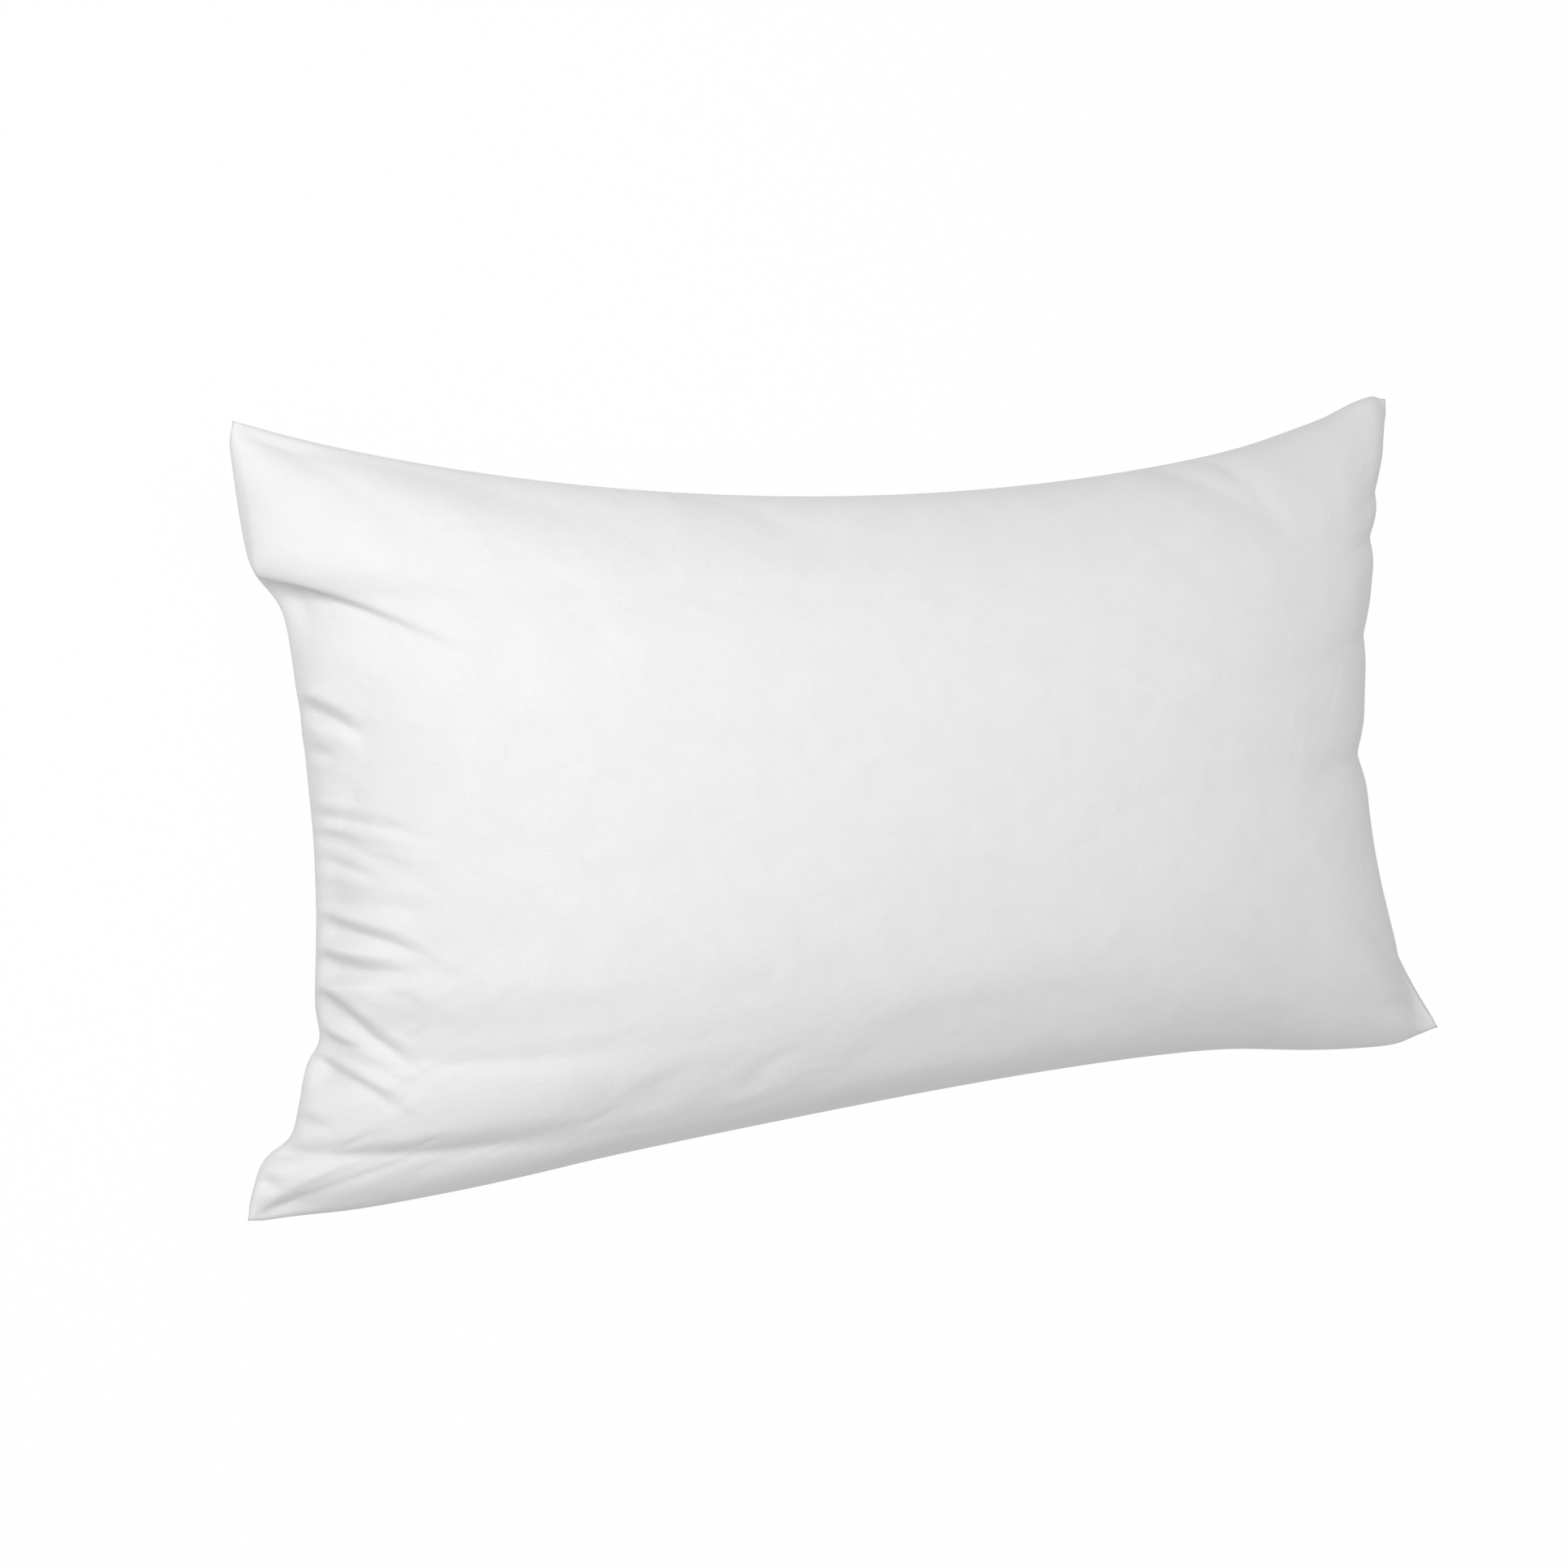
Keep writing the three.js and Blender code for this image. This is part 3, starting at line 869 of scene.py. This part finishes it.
THREE_SIDES = [((0, 1), (1, 1)), ((1, 1), (1, 0)), ((1, 0), (0, 0))]
CLOSED_MARGIN = 0.008  # share of the closed end that its thread leaves free at each corner
CLOSED_END = [((0, CLOSED_MARGIN), (0, 1 - CLOSED_MARGIN))]
STITCH = 0.003
STITCH_POINTS = 6
STITCH_INSET = 0.0016
THREAD_RADIUS = 0.00016
THREAD_FACETS = 5
THREAD_RISE = 0.0002  # how far a thread stands over the cloth between its locks
ALLOWANCE_GAP = 0.0002
LOCK_OFFSET = 0.00005  # how far each thread stands to its side of the other where the two lock
OVERLOCK_PITCH = 0.0045
OVERLOCK_POINTS = 9
OVERLOCK_RADIUS = 0.0002
OVERLOCK_FACETS = 4
OVERLOCK_SETBACK = 0.0008  # from the raw edge to the middle of the loops
OVERLOCK_REACH = 0.0014  # of a loop, in and out over the raw edge
OVERLOCK_HEIGHT = 0.0008


def lockstitch(name, node, stretches):
    """Needle and bobbin threads that lock between the two allowances at every stitch."""
    shares = seam_run(stretches, STITCH, STITCH_POINTS)
    phase = 2 * math.pi * np.arange(len(shares)) / STITCH_POINTS
    swing = ALLOWANCE_GAP + THREAD_RADIUS + THREAD_RISE
    parts = []
    for side in (1, -1):
        height = side * swing * np.sqrt(0.5 + 0.5 * np.cos(phase))
        path = seam_ring(shares[:, 0], shares[:, 1], STITCH_INSET + side * LOCK_OFFSET, 0)
        path[:, 2] += height
        parts.append(tube(path, THREAD_RADIUS, THREAD_FACETS))
    piece = mesh_piece(name, *merged(parts), THREAD)
    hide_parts(node)
    return piece


def overcast(name, node):
    """The overlock loops round the raw edges of the allowances."""
    shares = seam_run(THREE_SIDES, OVERLOCK_PITCH, OVERLOCK_POINTS)
    phase = 2 * math.pi * np.arange(len(shares)) / OVERLOCK_POINTS
    inset = ALLOWANCE - OVERLOCK_SETBACK + OVERLOCK_REACH * np.cos(phase)
    path = seam_ring(shares[:, 0], shares[:, 1], inset, 0)
    path[:, 2] += OVERLOCK_HEIGHT * np.sin(phase)
    piece = mesh_piece(name, *tube(path, OVERLOCK_RADIUS, OVERLOCK_FACETS), THREAD)
    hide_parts(node)
    return piece


lockstitch("three_side_lockstitch", "seam_thread", THREE_SIDES)
lockstitch("closing_lockstitch", "closing_thread", CLOSED_END)
overcast("overlock_loops", "overlock_thread")


# ---------------------------------------------------------------- label

label_low, label_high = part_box("care_label")
LABEL_WIDTH = label_high.y - label_low.y
LABEL_Y = (label_high.y + label_low.y) / 2
LABEL_DROP = SEAM_Z - label_low.z
LABEL_TUCK = 0.008
LABEL_THICK = 0.0003
END_SAMPLES = 800  # places of the right end looked up for it
LABEL_COLUMNS = 19
LABEL_ROWS = 36  # of the part that hangs
LABEL_UPPER_ROWS = [-LABEL_TUCK, -0.004, -0.001, 0.0006]  # distances out of the seam, above that part
LABEL_LIP = 0.001  # how far it stands out before it turns down
LABEL_BEND = 0.004  # the length over which it turns
LABEL_GAP = 0.0012  # between it and what it hangs past
SKIN_GAP = 0.0016  # between it and the lower panel
SKIN_BAND = 0.005  # how far above and below a row the panel is looked at
SKIN_SIDES = 0.7  # and how far to each side, in label widths
LABEL_EASE = 0.25  # how quickly it follows the panel
LABEL_CURL = 0.0022  # how wavy its lower edge is
LABEL_WAVE = (0.4, 5.0)  # the part of a sine that its width takes up, in radians


def skin_reach(near, level):
    """How far out the lower panel stands at a level, or -1 where there is none of it."""
    band = near[np.abs(near[:, 2] - level) < SKIN_BAND]
    return band[:, 0].max() if len(band) else -1


def label_face():
    """The label's middle surface, in rows from its tucked edge down, and each point's place on the tape."""
    shares = np.linspace(0, 1, END_SAMPLES)
    across = LABEL_Y + LABEL_WIDTH * np.linspace(-0.5, 0.5, LABEL_COLUMNS)
    lip = right_side(np.interp(across, right_side(shares)[:, 1], shares)) + np.array([0, 0, SEAM_Z])
    drop = np.concatenate([LABEL_UPPER_ROWS, np.linspace(2 * LABEL_LIP, LABEL_DROP, LABEL_ROWS)])
    skin = bottom_surface.reshape(-1, 3)
    near = skin[(np.abs(skin[:, 1] - LABEL_Y) < LABEL_WIDTH * SKIN_SIDES) & (skin[:, 0] > 0)]
    wave = np.sin(np.linspace(*LABEL_WAVE, LABEL_COLUMNS))
    reach = lip[:, 0].max()
    rows = []
    for out in drop:
        row = lip.copy()
        if out < LABEL_LIP:
            row[:, 0] += out
        else:
            down = out - LABEL_LIP
            hang = max(reach + LABEL_GAP, skin_reach(near, SEAM_Z - down) + SKIN_GAP)
            reach = (1 - LABEL_EASE) * reach + LABEL_EASE * (hang - LABEL_GAP)
            curl = LABEL_CURL * (down / LABEL_DROP) ** 2 * wave
            turn = min(1, down / LABEL_BEND)
            row[:, 0] = row[:, 0] * (1 - turn) + (reach + LABEL_GAP + curl) * turn
            row[:, 2] -= down
        rows.append(row)
    return np.array(rows), np.stack(np.meshgrid(across, drop), -1)


def label_piece():
    """The blank label: out of the right end's seam, over its fold and down against the lower panel."""
    face, place = label_face()
    normal = np.cross(np.gradient(face, axis=0), np.gradient(face, axis=1))
    normal /= np.linalg.norm(normal, axis=-1, keepdims=True)
    count = face.shape[0] * face.shape[1]
    index = np.arange(count).reshape(face.shape[:2])
    j, i = edge_loop(face.shape[:2])
    near_edge, far_edge = index[j, i], index[j, i] + count
    rim = np.stack([near_edge, np.roll(near_edge, -1), np.roll(far_edge, -1), far_edge], -1)
    points = np.concatenate([(face - normal * LABEL_THICK / 2).reshape(-1, 3),
                             (face + normal * LABEL_THICK / 2).reshape(-1, 3)])
    faces = np.concatenate([grid_faces(index, flip=True), grid_faces(index + count), rim])
    cloth = np.concatenate([place, np.zeros((*place.shape[:2], 1))], -1).reshape(-1, 3)
    piece = mesh_piece("blank_care_label", points, faces, LABEL, [("cloth", np.tile(cloth, (2, 1)))])
    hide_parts("care_label")
    return piece


label_piece()


# ---------------------------------------------------------------- floor, light and camera

CAMERA_STAND = Vector((-0.66, 0.05, 1.28))  # from the middle of the seam plane
CAMERA_AIM = Vector((-0.078, -0.007, 0.0))
CAMERA_UP = Vector((0.073, 1.0, 0.0))
LENS_MM = 50
SENSOR_MM = 36
FLOOR_SIZE = 24
FLOOR_WHITE = 0.98  # share of plain white that the camera sees in the floor, as in the background
KEY_STAND = Vector((-0.8, 0.5, 1.2))
KEY_SIZE = 0.6
KEY_WATTS = 7.2
TOP_STAND = Vector((-0.1, 0.1, 2.0))
TOP_SIZE = 2.0
TOP_WATTS = 11.5
SKY = 0.48


def floor():
    bpy.ops.mesh.primitive_plane_add(size=FLOOR_SIZE, location=(0, 0, BED_Z))
    ground = bpy.context.object
    ground.name = "floor"
    material, nodes, shader = start_material("pale floor", 0.9, 0.0, 0.1)
    shader.inputs["Base Color"].default_value = (0.85, 0.85, 0.85, 1)
    bright = nodes.add("ShaderNodeEmission", {"Color": (1, 1, 1, 1), "Strength": 1.0})
    seen = nodes.add("ShaderNodeLightPath")
    mix = nodes.add("ShaderNodeMixShader")
    nodes.join(nodes.math("MULTIPLY", seen.outputs["Is Camera Ray"], FLOOR_WHITE), mix.inputs["Fac"])
    nodes.join(shader.outputs[0], mix.inputs[1])
    nodes.join(bright.outputs[0], mix.inputs[2])
    nodes.join(mix.outputs[0], material.node_tree.nodes["Material Output"].inputs["Surface"])
    ground.data.materials.append(material)


def sky():
    world = bpy.data.worlds.new("studio")
    bpy.context.scene.world = world
    world.use_nodes = True
    nodes = Nodes(world.node_tree)
    light = world.node_tree.nodes["Background"]
    light.inputs["Color"].default_value = (1, 1, 1, 1)
    light.inputs["Strength"].default_value = SKY
    white = nodes.add("ShaderNodeBackground", {"Color": (1, 1, 1, 1), "Strength": 1.0})
    seen = nodes.add("ShaderNodeLightPath")
    mix = nodes.add("ShaderNodeMixShader")
    nodes.join(seen.outputs["Is Camera Ray"], mix.inputs["Fac"])
    nodes.join(light.outputs[0], mix.inputs[1])
    nodes.join(white.outputs[0], mix.inputs[2])
    nodes.join(mix.outputs[0], world.node_tree.nodes["World Output"].inputs["Surface"])


def softbox(name, stand, size, watts):
    lamp = bpy.data.lights.new(name, "AREA")
    lamp.shape, lamp.size, lamp.energy = "DISK", size, watts
    holder = bpy.data.objects.new(name, lamp)
    holder.location = stand
    holder.rotation_euler = (Vector((0, 0, SEAM_Z)) - stand).to_track_quat("-Z", "Y").to_euler()
    bpy.context.scene.collection.objects.link(holder)


def camera():
    lens = bpy.data.cameras.new("camera")
    lens.lens, lens.sensor_width = LENS_MM, SENSOR_MM
    holder = bpy.data.objects.new("camera", lens)
    bpy.context.scene.collection.objects.link(holder)
    middle = Vector((0, 0, SEAM_Z))
    ahead = (CAMERA_AIM - CAMERA_STAND).normalized()
    right = ahead.cross(CAMERA_UP).normalized()
    turn = Matrix((right, right.cross(ahead), -ahead)).transposed().to_4x4()
    turn.translation = middle + CAMERA_STAND
    holder.matrix_world = turn
    bpy.context.scene.camera = holder


floor()
sky()
softbox("key light", KEY_STAND, KEY_SIZE, KEY_WATTS)
softbox("top light", TOP_STAND, TOP_SIZE, TOP_WATTS)
camera()
bpy.context.scene.view_settings.view_transform = "Standard"
